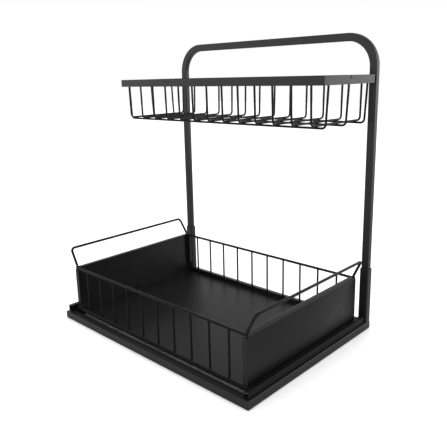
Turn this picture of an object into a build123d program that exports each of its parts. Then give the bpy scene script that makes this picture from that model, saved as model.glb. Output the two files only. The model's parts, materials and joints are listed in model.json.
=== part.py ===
"""Two-tier pull-out cabinet basket, in millimetres.

A flat base of square tube stands on the cabinet floor. A sheet-steel drawer with wire fences
rolls out of it towards -Y on two ball slides. An inverted U of flat tube stands in two sleeves
at the back and carries a wire basket above the drawer.

Frame: origin at the centre of the footprint on the floor, +X to the right, -Y to the front
(the way the drawer pulls), +Z up.
"""

import math
import os

from build123d import *

os.makedirs("parts", exist_ok=True)

# ---- overall ------------------------------------------------------------------------------
base_width = 420.0      # X, over the side rails
base_depth = 308.0      # Y, over the front and rear bars
overall_height = 467.0  # floor to the top of the U frame

# ---- base tube ----------------------------------------------------------------------------
base_tube = 12.7        # square tube, half an inch
base_wall = 1.2
base_corner = 1.5       # outer corner radius of the tube
tube_inner_corner = 0.4

# ---- U frame and its sleeves ----------------------------------------------------------------
post_x = 12.0           # flat tube, its side in the plane of the U
post_y = 9.5            # its other side
post_wall = 1.2
post_corner = 1.2
frame_bend = 44.0       # centreline radius of the two top bends
drill_depth = 1.8       # of a hole through one wall of the post
sleeve_wall = 1.2
sleeve_play = 0.3       # all round, between post and sleeve
sleeve_corner = 1.8
sleeve_top = 104.0      # height of the sleeves' open tops above the floor
sleeve_screw_heights = (40.0, 84.0)

# ---- screws -------------------------------------------------------------------------------
screw_shank = 4.0       # M4
screw_hole_play = 0.1   # radial, a thread drawn plain
screw_length = 8.0
flat_head = 7.0         # diameter of the countersunk head
button_head = 7.6
button_head_height = 2.2
button_head_round = 1.4
hex_socket = 2.5        # across its corners
hex_socket_depth = 1.3
hanger_screw_length = 17.0

# ---- drawer -------------------------------------------------------------------------------
sheet = 1.2             # all of the drawer's sheet steel
rail_margin = 3.0       # strip of side rail left showing outside each slide
drawer_front_set = 16.0  # base front to the side panels' front faces
drawer_rear_set = 25.0   # base rear to the side panels' rear faces
pan_clear = 0.6         # under the pan, where it passes over the front bar
lip_height = 6.8        # lips of the pan above its plate
panel_height = 79.2     # side panels above the plate
top_flange = 8.0
end_flange = 9.0
foot_flange = 10.0
end_flange_drop = 5.2   # end flanges stop this far below the top
flange_notch = 7.0      # top flange stops this far from each end, clear of the handle's legs
fold_radius = 1.8       # outer radius of a fold

# ---- wire ---------------------------------------------------------------------------------
wire = 3.2              # cross wires, lengthwise wires and fence uprights
rail_wire = 4.2         # fence rails and handles
weld_bite = 0.2         # how far two welded wires sink into each other
fence_count = 10
fence_end_set = 34.2    # outermost uprights' centreline inside the side panels' outer faces
fence_setback = 2.5     # upright's centreline behind the pan's lip
fence_bend = 2.8        # centreline radius of an upright's foot
fence_rail_drop = 2.2   # top rail's centreline below the side panels' tops
lip_hole_play = 0.2     # radial, round an upright's foot
foot_recess = 0.4       # foot's end behind the lip's outer face

# ---- handles ------------------------------------------------------------------------------
handle_rise = 30.0      # bar's centreline above the side panels
handle_lean = 15.0      # bar's centreline outside the leg's
handle_pull_in = 4.5    # rear end of the bar in front of the rear leg
handle_knee_rise = 1.3  # knee above the side panels
handle_knee_bend = 6.0
handle_corner_bend = 6.5
handle_leg_low = 20.0   # legs' lower ends above the plate

# ---- ball slides ----------------------------------------------------------------------------
slide_width = 10.8      # side panel to the outer face of the outer member
slide_height = 11.0
slide_web = 1.35        # outer member's sheet
slide_corner = 0.8      # its outer corner radius
slide_front_set = 4.0   # base front to the outer member's front end
slide_rear_gap = 0.5    # outer member's rear end in front of the sleeve
race_lip = 1.0          # outer member's turned-in lips, each way
slide_mouth = 1.8       # lips to the inner member's web
inner_web = 1.0
inner_flange = 1.2
inner_depth = 8.0       # inner member from the side panel to its flange tips
inner_front_set = 2.0   # panel front to the inner member's front end
inner_rear_set = 1.0
ball = 2.4
race_play = 0.05        # radial, ball to race
race_rise = 0.9         # flange surface off the row of ball centres; the groove takes the rest
cage_sheet = 0.6
cage_play = 0.4         # cage to the members' webs
ball_hole_play = 0.1    # radial
balls_per_row = 6
cage_end = 6.0          # last ball's centre to the cage's end
travel = 190.0          # how far the drawer pulls out
stop_tab = 1.5          # length of the stop tabs
stop_play = 0.5         # left between cage and tabs at full pull
stop_gap = 0.45         # tab to the member that passes it
bumper_gap = 0.3        # inner member to the rear bumper, drawer shut
bumper_play = 0.1
bumper_round = 0.6
rivet = 2.0
rivet_head = 4.0
rivet_head_height = 0.8
rivet_head_round = 0.5
rivet_count = 3
rivet_end_set = 28.5    # outermost rivets inside the side panels' ends

# ---- upper basket ---------------------------------------------------------------------------
rim_top = 406.0
rim_height = 12.0
rim_strip = 2.0
rim_corner = 4.0
rim_overhang = 2.4      # rim outside the base, each side
rim_front = -3.5        # Y of the rim's front face
hanger_length = 9.5     # rim's rear face to the posts' front faces
hanger_width = 10.0
hanger_height = 9.0
hanger_corner = 1.0
hanger_screw_in = 2.1   # screw's centre inboard of the post's
rim_seam = 1.2          # notch where the strip's ends meet
rim_seam_depth = 5.0
cross_count = 13
cross_end_set = 20.4    # outermost cross wires' centreline inside the rim's end faces
basket_drop = 65.2      # rim's top to the cross wires' centreline
side_taper = 1.3        # front and rear sides draw in this far
end_taper = 3.0         # left and right ends draw in this far
basket_bend = 6.0
rim_bend = 12.0         # where a wire's end turns upright against the rim
wire_end_drop = 2.0     # wire ends below the rim's top
long_setback = 17.5     # outer lengthwise wires' centreline inside the rim's faces
long_count = 3

# ---- worked out ---------------------------------------------------------------------------
half_width = base_width / 2
half_depth = base_depth / 2
wire_r = wire / 2
rail_r = rail_wire / 2
sleeve_x = post_x + 2 * (sleeve_play + sleeve_wall)
sleeve_y = post_y + 2 * (sleeve_play + sleeve_wall)
post_centre_x = half_width - sleeve_x / 2
post_centre_y = half_depth - sleeve_y / 2
post_front = post_centre_y - post_y / 2
post_rear = post_centre_y + post_y / 2

panel_face = half_width - rail_margin - slide_width   # X of the side panels' outer faces
panel_inside = panel_face - sheet
drawer_front = -half_depth + drawer_front_set
drawer_rear = half_depth - drawer_rear_set
drawer_mid = (drawer_front + drawer_rear) / 2
drawer_length = drawer_rear - drawer_front
pan_bottom = base_tube + pan_clear
plate_top = pan_bottom + sheet
panel_top = plate_top + panel_height

fence_front = drawer_front + fence_setback
fence_rear = drawer_rear - fence_setback
fence_rail_z = panel_top - fence_rail_drop
fence_pitch = 2 * (panel_face - fence_end_set) / (fence_count - 1)
foot_z = plate_top + wire_r

leg_x = panel_inside - rail_r + weld_bite
leg_set = sheet + rail_r - weld_bite / 2              # leg's centreline behind the panel's end

slide_outer_face = panel_face + slide_width
slide_front = -half_depth + slide_front_set
slide_rear = half_depth - sleeve_y - slide_rear_gap
slide_length = slide_rear - slide_front
slide_floor = base_tube
slide_mid_z = slide_floor + slide_height / 2
ball_r = ball / 2
race_r = ball_r + race_play
row_offset = slide_height / 2 - slide_web - race_rise  # ball rows above and below the middle
inner_half = row_offset - race_rise
lip_x = panel_face + inner_web + slide_mouth
cage_outer_x = slide_outer_face - slide_web - cage_play
inner_tip_x = panel_face + inner_depth
ball_x = (lip_x + race_lip + slide_outer_face - slide_web) / 2
inner_front = drawer_front + inner_front_set
inner_rear = drawer_rear - inner_rear_set
inner_length = inner_rear - inner_front
rivet_pitch = (drawer_length - 2 * rivet_end_set) / (rivet_count - 1)
cage_front_out = slide_front + stop_tab + stop_play    # at full pull
cage_rear_out = inner_rear - travel - stop_tab - stop_play
cage_length = cage_rear_out - cage_front_out
cage_front = cage_front_out + travel / 2
cage_mid = cage_front + cage_length / 2
cage_x0 = lip_x + race_lip + cage_sheet
ball_pitch = (cage_length - 2 * cage_end) / (balls_per_row - 1)

rim_half = half_width + rim_overhang
cross_pitch = 2 * (rim_half - cross_end_set) / (cross_count - 1)
rim_rear = post_front - hanger_length
rim_mid = (rim_front + rim_rear) / 2
rim_depth = rim_rear - rim_front
rim_bottom = rim_top - rim_height
rim_mid_z = rim_top - rim_height / 2
basket_z = rim_top - basket_drop
wire_top_z = rim_top - wire_end_drop
knee_z = rim_bottom - wire
rim_seat = rim_strip + wire_r - weld_bite              # wire's centreline behind the rim's face
hanger_x = post_centre_x - hanger_screw_in


def save(builder, name):
    """Label a finished piece and write it as one file."""
    builder.part.label = name
    export_step(builder.part, f"parts/{name}.step")


def save_mirrored(builder, kind):
    """Write the right-hand piece, and its mirror image as the left-hand one."""
    save(builder, f"right_{kind}")
    with BuildPart() as left:
        mirror(builder.part, about=Plane.YZ)
    save(left, f"left_{kind}")


def section_at(path):
    """The plane square to a path at its start."""
    return Plane(origin=path.line @ 0, z_dir=path.line % 0)


# ---- base: four mitred tubes ----------------------------------------------------------------
def mitred_tube(length):
    """A hollow tube along X on the floor, outer face on the X axis, cut at 45 degrees."""
    with BuildPart() as tube:
        with BuildSketch(Plane.YZ.offset(-length / 2)):
            with Locations((base_tube / 2, base_tube / 2)):
                RectangleRounded(base_tube, base_tube, base_corner)
                RectangleRounded(
                    base_tube - 2 * base_wall,
                    base_tube - 2 * base_wall,
                    tube_inner_corner,
                    mode=Mode.SUBTRACT,
                )
        extrude(amount=length)
        for side in (-1, 1):
            cut = Plane(origin=(side * length / 2, 0, 0), z_dir=(side, 1, 0))
            split(bisect_by=cut, keep=Keep.BOTTOM)
    return tube.part


with BuildPart() as base_front_bar:
    add(mitred_tube(base_width).moved(Location((0, -half_depth, 0))))
save(base_front_bar, "base_front_bar")

with BuildPart() as base_rear_bar:
    mirror(base_front_bar.part, about=Plane.XZ)
save(base_rear_bar, "base_rear_bar")

with BuildPart() as base_right_rail:
    add(mitred_tube(base_depth).moved(Location((half_width, 0, 0), (0, 0, 90))))
save(base_right_rail, "base_right_rail")

with BuildPart() as base_left_rail:
    mirror(base_right_rail.part, about=Plane.YZ)
save(base_left_rail, "base_left_rail")

# ---- U frame --------------------------------------------------------------------------------
frame_top = overall_height - post_x / 2
with BuildPart() as u_frame:
    with BuildLine(Plane.XZ.offset(-post_centre_y)) as frame_path:
        FilletPolyline(
            (-post_centre_x, base_tube),
            (-post_centre_x, frame_top),
            (post_centre_x, frame_top),
            (post_centre_x, base_tube),
            radius=frame_bend,
        )
    with BuildSketch(Plane(origin=frame_path.line @ 0, x_dir=(1, 0, 0), z_dir=(0, 0, 1))):
        RectangleRounded(post_x, post_y, post_corner)
        RectangleRounded(
            post_x - 2 * post_wall, post_y - 2 * post_wall, tube_inner_corner, mode=Mode.SUBTRACT
        )
    sweep(path=frame_path.line)
    for side in (-1, 1):
        with BuildSketch(Plane.XZ.offset(-post_front)):
            with Locations((side * hanger_x, rim_mid_z)):
                Circle(screw_shank / 2 + screw_hole_play)
        extrude(amount=-drill_depth, mode=Mode.SUBTRACT)
        with BuildSketch(Plane.XZ.offset(-post_rear)):
            with Locations(*[(side * post_centre_x, z) for z in sleeve_screw_heights]):
                Circle(screw_shank / 2 + screw_hole_play)
        extrude(amount=drill_depth, mode=Mode.SUBTRACT)
save(u_frame, "u_frame")

# ---- sleeves and their countersunk screws ---------------------------------------------------
head_depth = sleeve_wall + sleeve_play
with BuildPart() as sleeve:
    with BuildSketch(Plane.XY.offset(base_tube)):
        with Locations((post_centre_x, post_centre_y)):
            RectangleRounded(sleeve_x, sleeve_y, sleeve_corner)
            RectangleRounded(
                post_x + 2 * sleeve_play,
                post_y + 2 * sleeve_play,
                post_corner + sleeve_play,
                mode=Mode.SUBTRACT,
            )
    extrude(amount=sleeve_top - base_tube)
    for height in sleeve_screw_heights:
        with Locations(Location((post_centre_x, half_depth - head_depth / 2, height), (-90, 0, 0))):
            Cone(
                screw_shank / 2 + screw_hole_play,
                flat_head / 2 + screw_hole_play,
                head_depth,
                mode=Mode.SUBTRACT,
            )
save_mirrored(sleeve, "sleeve")

with BuildPart() as sleeve_screws:
    for height in sleeve_screw_heights:
        with BuildSketch(Plane.YZ.offset(post_centre_x)):
            with BuildLine():
                Polyline(
                    (half_depth, height),
                    (half_depth, height + flat_head / 2),
                    (half_depth - head_depth, height + screw_shank / 2),
                    (half_depth - screw_length, height + screw_shank / 2),
                    (half_depth - screw_length, height),
                    close=True,
                )
            make_face()
        revolve(axis=Axis((post_centre_x, 0, height), (0, 1, 0)))
save_mirrored(sleeve_screws, "sleeve_screws")

# ---- rim of the upper basket ----------------------------------------------------------------
with BuildPart() as basket_rim:
    with BuildSketch(Plane.XY.offset(rim_bottom)):
        with Locations((0, rim_mid)):
            RectangleRounded(2 * rim_half, rim_depth, rim_corner)
            RectangleRounded(
                2 * (rim_half - rim_strip),
                rim_depth - 2 * rim_strip,
                rim_corner - rim_strip,
                mode=Mode.SUBTRACT,
            )
    extrude(amount=rim_height)
    with BuildSketch(Plane.XZ.offset(-rim_rear)):
        with Locations((hanger_x, rim_mid_z), (-hanger_x, rim_mid_z)):
            Circle(screw_shank / 2 + screw_hole_play)
    extrude(amount=rim_strip, mode=Mode.SUBTRACT)
    with Locations((rim_half, rim_mid, rim_top)):
        Box(4 * rim_strip, rim_seam, 2 * rim_seam_depth, mode=Mode.SUBTRACT)
save(basket_rim, "basket_rim")

# ---- hangers: a block and a screw on each post ----------------------------------------------
with BuildPart() as hanger:
    with BuildSketch(Plane.XZ.offset(-rim_rear)):
        with Locations((hanger_x, rim_mid_z)):
            RectangleRounded(hanger_width, hanger_height, hanger_corner)
            Circle(screw_shank / 2 + screw_hole_play, mode=Mode.SUBTRACT)
    extrude(amount=-hanger_length)
save_mirrored(hanger, "hanger")

hanger_head_y = rim_rear - rim_strip
with BuildPart() as hanger_screw:
    with BuildSketch(Plane.XZ.offset(-hanger_head_y)):
        with Locations((hanger_x, rim_mid_z)):
            Circle(button_head / 2)
    extrude(amount=button_head_height)
    fillet(hanger_screw.edges().filter_by(GeomType.CIRCLE).sort_by(Axis.Y)[0], button_head_round)
    with BuildSketch(Plane.XZ.offset(-hanger_head_y)):
        with Locations((hanger_x, rim_mid_z)):
            Circle(screw_shank / 2)
    extrude(amount=-hanger_screw_length)
    with BuildSketch(Plane.XZ.offset(-hanger_head_y + button_head_height)):
        with Locations((hanger_x, rim_mid_z)):
            RegularPolygon(hex_socket / 2, 6)
    extrude(amount=-hex_socket_depth, mode=Mode.SUBTRACT)
save_mirrored(hanger_screw, "hanger_screw")

# ---- wires of the upper basket --------------------------------------------------------------
cross_front = rim_front + rim_seat
cross_rear = rim_rear - rim_seat
bends = [rim_bend, basket_bend, basket_bend, rim_bend]
for number in range(cross_count):
    x = (number - (cross_count - 1) / 2) * cross_pitch
    with BuildPart() as cross_wire:
        with BuildLine(Plane.YZ.offset(x)) as cross_path:
            FilletPolyline(
                (cross_front, wire_top_z),
                (cross_front, knee_z),
                (cross_front + side_taper, basket_z),
                (cross_rear - side_taper, basket_z),
                (cross_rear, knee_z),
                (cross_rear, wire_top_z),
                radius=bends,
            )
        with BuildSketch(section_at(cross_path)):
            Circle(wire_r)
        sweep(path=cross_path.line)
    save(cross_wire, f"cross_wire_{number + 1:02d}")

long_end = rim_half - rim_seat
long_z = basket_z - wire + weld_bite
long_pitch = (rim_depth - 2 * long_setback) / (long_count - 1)
for number in range(long_count):
    y = rim_front + long_setback + number * long_pitch
    with BuildPart() as long_wire:
        with BuildLine(Plane.XZ.offset(-y)) as long_path:
            FilletPolyline(
                (-long_end, wire_top_z),
                (-long_end, knee_z),
                (-long_end + end_taper, long_z),
                (long_end - end_taper, long_z),
                (long_end, knee_z),
                (long_end, wire_top_z),
                radius=bends,
            )
        with BuildSketch(section_at(long_path)):
            Circle(wire_r)
        sweep(path=long_path.line)
    save(long_wire, f"long_wire_{number + 1}")

# ---- slides: outer member -------------------------------------------------------------------
cavity_half = row_offset + race_rise
with BuildPart() as slide_outer:
    with BuildSketch(Plane.XZ.offset(-slide_front)):
        with BuildLine():
            Polyline(
                (lip_x, slide_floor),
                (slide_outer_face, slide_floor),
                (slide_outer_face, slide_floor + slide_height),
                (lip_x, slide_floor + slide_height),
                (lip_x, slide_mid_z + cavity_half - race_lip),
                (lip_x + race_lip, slide_mid_z + cavity_half - race_lip),
                (lip_x + race_lip, slide_mid_z + cavity_half),
                (slide_outer_face - slide_web, slide_mid_z + cavity_half),
                (slide_outer_face - slide_web, slide_mid_z - cavity_half),
                (lip_x + race_lip, slide_mid_z - cavity_half),
                (lip_x + race_lip, slide_mid_z - cavity_half + race_lip),
                (lip_x, slide_mid_z - cavity_half + race_lip),
                close=True,
            )
        make_face()
        with Locations((ball_x, slide_mid_z + row_offset), (ball_x, slide_mid_z - row_offset)):
            Circle(race_r, mode=Mode.SUBTRACT)
    extrude(amount=-slide_length)
    corners = slide_outer.edges().filter_by(Axis.Y).group_by(Axis.X)[-1]
    fillet(corners, slide_corner)
    tab_low = inner_half + stop_gap
    for row in (-1, 1):
        with BuildSketch(Plane.XZ.offset(-slide_front)):
            with Locations((ball_x, slide_mid_z + row * (tab_low + cavity_half) / 2)):
                Rectangle(2 * race_r, cavity_half - tab_low)
            with Locations((ball_x, slide_mid_z + row * cavity_half)):
                Rectangle(2 * race_r, 2 * (race_r - race_rise))
        extrude(amount=-stop_tab)
save_mirrored(slide_outer, "slide_outer")

# ---- slides: rear bumper --------------------------------------------------------------------
bumper_x0 = lip_x + race_lip + bumper_play
bumper_x1 = slide_outer_face - slide_web - bumper_play
with BuildPart() as slide_bumper:
    with BuildSketch(Plane.XZ.offset(-(inner_rear + bumper_gap))):
        with Locations(((bumper_x0 + bumper_x1) / 2, slide_mid_z)):
            Rectangle(bumper_x1 - bumper_x0, 2 * (cavity_half - bumper_play))
    extrude(amount=-(slide_rear - inner_rear - bumper_gap))
    fillet(slide_bumper.edges().group_by(Axis.Y)[0], bumper_round)
save_mirrored(slide_bumper, "slide_bumper")

# ---- slides: ball cage and balls ------------------------------------------------------------
ball_ys = [cage_mid + (n - (balls_per_row - 1) / 2) * ball_pitch for n in range(balls_per_row)]
cage_half = row_offset + cage_sheet / 2
with BuildPart() as slide_cage:
    with BuildSketch(Plane.XZ.offset(-cage_front)):
        with Locations(((cage_x0 + cage_outer_x) / 2, slide_mid_z)):
            Rectangle(cage_outer_x - cage_x0, 2 * cage_half)
        with Locations(((cage_x0 + cage_outer_x) / 2 - cage_sheet, slide_mid_z)):
            Rectangle(cage_outer_x - cage_x0, 2 * (cage_half - cage_sheet), mode=Mode.SUBTRACT)
    extrude(amount=-cage_length)
    with BuildSketch(Plane.XY.offset(slide_mid_z - 2 * row_offset)):
        with Locations(*[(ball_x, y) for y in ball_ys]):
            Circle(ball_r + ball_hole_play)
    extrude(amount=4 * row_offset, mode=Mode.SUBTRACT)
save_mirrored(slide_cage, "slide_cage")

with BuildPart() as slide_balls:
    for row in (-1, 1):
        with Locations(*[(ball_x, y, slide_mid_z + row * row_offset) for y in ball_ys]):
            Sphere(ball_r)
save_mirrored(slide_balls, "slide_balls")

# ---- slides: inner member and its rivets ----------------------------------------------------
with BuildPart() as slide_inner:
    with BuildSketch(Plane.XZ.offset(-inner_front)):
        with Locations((panel_face + inner_depth / 2, slide_mid_z)):
            Rectangle(inner_depth, 2 * inner_half)
        with Locations((panel_face + inner_depth / 2 + inner_web, slide_mid_z)):
            Rectangle(inner_depth, 2 * (inner_half - inner_flange), mode=Mode.SUBTRACT)
        with Locations((ball_x, slide_mid_z + row_offset), (ball_x, slide_mid_z - row_offset)):
            Circle(race_r, mode=Mode.SUBTRACT)
    extrude(amount=-inner_length)
    tab_top = cavity_half - stop_gap
    for row in (-1, 1):
        with BuildSketch(Plane.XZ.offset(-(inner_rear - stop_tab))):
            with Locations((ball_x, slide_mid_z + row * (inner_half + tab_top) / 2)):
                Rectangle(2 * race_r, tab_top - inner_half)
            with Locations((ball_x, slide_mid_z + row * inner_half)):
                Rectangle(2 * race_r, 2 * (race_r - race_rise))
        extrude(amount=-stop_tab)
    rivet_ys = [drawer_mid + (n - (rivet_count - 1) / 2) * rivet_pitch for n in range(rivet_count)]
    with BuildSketch(Plane.YZ.offset(panel_face)):
        with Locations(*[(y, slide_mid_z) for y in rivet_ys]):
            Circle(rivet / 2)
    extrude(amount=inner_web, mode=Mode.SUBTRACT)
save_mirrored(slide_inner, "slide_inner")

with BuildPart() as slide_rivets:
    with BuildSketch(Plane.YZ.offset(panel_inside)):
        with Locations(*[(y, slide_mid_z) for y in rivet_ys]):
            Circle(rivet / 2)
    extrude(amount=sheet + inner_web)
    with BuildSketch(Plane.YZ.offset(panel_inside)):
        with Locations(*[(y, slide_mid_z) for y in rivet_ys]):
            Circle(rivet_head / 2)
    extrude(amount=-rivet_head_height)
    fillet(slide_rivets.edges().filter_by(GeomType.CIRCLE).group_by(Axis.X)[0], rivet_head_round)
save_mirrored(slide_rivets, "slide_rivets")

# ---- drawer: pan ----------------------------------------------------------------------------
fence_xs = [(n - (fence_count - 1) / 2) * fence_pitch for n in range(fence_count)]
with BuildPart() as drawer_pan:
    with BuildSketch(Plane.YZ.offset(-panel_face)) as pan_section:
        with Locations((drawer_mid, pan_bottom + (sheet + lip_height) / 2)):
            Rectangle(drawer_length + 2 * sheet, sheet + lip_height)
        fillet(pan_section.vertices().group_by(Axis.Y)[0], fold_radius)
        with Locations((drawer_mid, plate_top + lip_height)):
            Rectangle(drawer_length, 2 * lip_height, mode=Mode.SUBTRACT)
    extrude(amount=2 * panel_face)
    for face_y in (drawer_front - sheet, drawer_rear):
        with BuildSketch(Plane.XZ.offset(-face_y)):
            with Locations(*[(x, foot_z) for x in fence_xs]):
                Circle(wire_r + lip_hole_play)
        extrude(amount=-sheet, mode=Mode.SUBTRACT)
save(drawer_pan, "drawer_pan")

# ---- drawer: side panels --------------------------------------------------------------------
with BuildPart() as panel:
    with BuildSketch(Plane.XY.offset(plate_top)) as end_flanges:
        with Locations((panel_face - end_flange / 2, drawer_mid)):
            Rectangle(end_flange, drawer_length)
        fillet(end_flanges.vertices().group_by(Axis.X)[-1], fold_radius)
        with Locations((panel_inside - end_flange / 2, drawer_mid)):
            Rectangle(end_flange, drawer_length - 2 * sheet, mode=Mode.SUBTRACT)
    extrude(amount=panel_height - end_flange_drop)
    with BuildSketch(Plane.XZ.offset(-(drawer_front + fold_radius))) as wall_top:
        with Locations((panel_face - top_flange / 2, panel_top - end_flange_drop)):
            Rectangle(top_flange, 2 * end_flange_drop)
        fillet(wall_top.vertices().group_by(Axis.Y)[-1].sort_by(Axis.X)[-1], fold_radius)
        with Locations((panel_inside - top_flange / 2, panel_top - sheet - end_flange_drop)):
            Rectangle(top_flange, 2 * end_flange_drop, mode=Mode.SUBTRACT)
    extrude(amount=-(drawer_length - 2 * fold_radius))
    for end_y in (drawer_front + flange_notch / 2, drawer_rear - flange_notch / 2):
        with Locations((panel_inside - top_flange / 2, end_y, panel_top)):
            Box(top_flange, flange_notch, 4 * sheet, mode=Mode.SUBTRACT)
    with Locations((panel_inside - foot_flange / 2 + sheet / 2, drawer_mid, plate_top + sheet / 2)):
        Box(foot_flange - sheet, drawer_length - 2 * sheet, sheet)
    with BuildSketch(Plane.YZ.offset(panel_inside)):
        with Locations(*[(y, slide_mid_z) for y in rivet_ys]):
            Circle(rivet / 2)
    extrude(amount=sheet, mode=Mode.SUBTRACT)
save_mirrored(panel, "panel")

# ---- drawer: handles ------------------------------------------------------------------------
leg_front = drawer_front + leg_set
leg_rear = drawer_rear - leg_set
bar_x = leg_x + handle_lean
bar_z = panel_top + handle_rise
knee = panel_top + handle_knee_rise
leg_foot = plate_top + handle_leg_low
with BuildPart() as handle:
    with BuildLine() as handle_path:
        FilletPolyline(
            (leg_x, leg_front, leg_foot),
            (leg_x, leg_front, knee),
            (bar_x, leg_front, bar_z),
            (bar_x, leg_rear - handle_pull_in, bar_z),
            (leg_x, leg_rear, knee),
            (leg_x, leg_rear, leg_foot),
            radius=[handle_knee_bend, handle_corner_bend, handle_corner_bend, handle_knee_bend],
        )
    with BuildSketch(section_at(handle_path)):
        Circle(rail_r)
    sweep(path=handle_path.line)
save_mirrored(handle, "handle")

# ---- drawer: wire fences --------------------------------------------------------------------
rail_half = leg_x - rail_r + weld_bite
upright_top = fence_rail_z - rail_r + weld_bite
fences = {
    "front": (fence_front, drawer_front - sheet + foot_recess),
    "rear": (fence_rear, drawer_rear + sheet - foot_recess),
}
for end, (fence_y, foot_y) in fences.items():
    with BuildPart() as fence_rail:
        with BuildSketch(Plane(origin=(-rail_half, fence_y, fence_rail_z), z_dir=(1, 0, 0))):
            Circle(rail_r)
        extrude(amount=2 * rail_half)
    save(fence_rail, f"{end}_fence_rail")

    with BuildPart() as uprights:
        for x in fence_xs:
            with BuildLine(Plane.YZ.offset(x)) as upright_path:
                FilletPolyline(
                    (fence_y, upright_top), (fence_y, foot_z), (foot_y, foot_z), radius=fence_bend
                )
            with BuildSketch(section_at(upright_path)):
                Circle(wire_r)
            sweep(path=upright_path.line)
    save(uprights, f"{end}_fence_uprights")

slope = math.degrees(math.atan2(end_taper, knee_z - basket_z))
print(f"side panels at x {panel_face:.1f}, plate top {plate_top:.1f}, panel top {panel_top:.1f}")
print(f"cage {cage_length:.1f} long, ball pitch {ball_pitch:.2f}, basket ends lean {slope:.1f} deg")
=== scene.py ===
"""Dresses the pull-out cabinet basket: coated tube, sheet and wire, welds, screws and ball slides.

Every length is in metres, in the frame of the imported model: origin at the centre of the footprint
on the floor, +X to the right, -Y to the front (the way the drawer pulls), +Z up.
"""

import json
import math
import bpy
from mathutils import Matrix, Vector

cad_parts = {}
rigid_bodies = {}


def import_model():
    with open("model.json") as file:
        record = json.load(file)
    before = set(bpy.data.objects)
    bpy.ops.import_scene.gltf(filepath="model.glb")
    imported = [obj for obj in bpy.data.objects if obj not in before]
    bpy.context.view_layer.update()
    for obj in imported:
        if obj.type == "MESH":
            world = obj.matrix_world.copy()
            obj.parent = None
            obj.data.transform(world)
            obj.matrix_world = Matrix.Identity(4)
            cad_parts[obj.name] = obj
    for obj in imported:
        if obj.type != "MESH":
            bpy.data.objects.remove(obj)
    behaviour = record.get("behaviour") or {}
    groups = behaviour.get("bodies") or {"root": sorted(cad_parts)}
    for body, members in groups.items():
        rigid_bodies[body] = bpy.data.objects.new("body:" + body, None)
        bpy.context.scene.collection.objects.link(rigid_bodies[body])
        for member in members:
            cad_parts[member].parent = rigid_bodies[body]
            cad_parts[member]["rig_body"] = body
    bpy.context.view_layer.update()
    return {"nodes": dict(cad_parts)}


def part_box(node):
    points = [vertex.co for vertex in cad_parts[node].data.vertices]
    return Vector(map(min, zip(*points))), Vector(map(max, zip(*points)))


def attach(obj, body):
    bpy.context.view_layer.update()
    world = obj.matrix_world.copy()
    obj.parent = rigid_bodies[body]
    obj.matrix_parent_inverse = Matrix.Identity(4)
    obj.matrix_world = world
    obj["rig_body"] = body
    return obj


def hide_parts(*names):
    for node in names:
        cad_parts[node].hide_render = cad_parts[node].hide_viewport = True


bl_info = {
    "name": "Pull-out cabinet basket",
    "version": (1, 0, 0),
    "blender": (4, 5, 0),
    "location": "View3D > Sidebar > Basket",
    "description": "Coated tube, sheet, wires, welds, screws, ball slides and a plain studio",
    "category": "Object",
}

import bmesh
import bpy
from bpy.props import FloatProperty, FloatVectorProperty, IntProperty, PointerProperty
from mathutils import Vector

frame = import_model()

MERGE = 1e-6  # vertices closer than this are one
FLAT = math.radians(0.3)  # faces that differ by less are one flat face
CREASE = math.radians(32)  # sharper edges are rounded, softer ones shaded smooth
SIDES = ("left", "right")
ENDS = ("front", "rear")
CROSS_WIRES = sorted(n for n in frame["nodes"] if n.startswith("cross_wire_"))
LONG_WIRES = sorted(n for n in frame["nodes"] if n.startswith("long_wire_"))
UPRIGHTS = 10  # in each fence
WIRE_END_STEPS = 3  # flats in the rounding of a wire's end
SCREW_HEAD = 0.0035  # radius of a countersunk head

# Half sizes of the weld beads, and where the beads stand.
BASKET_BEAD = (0.0019, 0.0010)  # across the joint, and through it
FENCE_BEAD = (0.0020, 0.0009)
HANDLE_BEAD = (0.0008, 0.0021, 0.0045)  # along X, Y and Z
RIM_WELD_SET = 0.0022  # above the rim's lower edge, and below the wires' ends
HANDLE_WELD_HEIGHTS = (0.008, 0.044)  # above the foot of a handle's leg

SHEET_DULLER = 0.08  # roughness of the sheet's coat above that of the tubes
WIRE_GLOSSIER = 0.04  # roughness of the wires' coat below it


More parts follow.
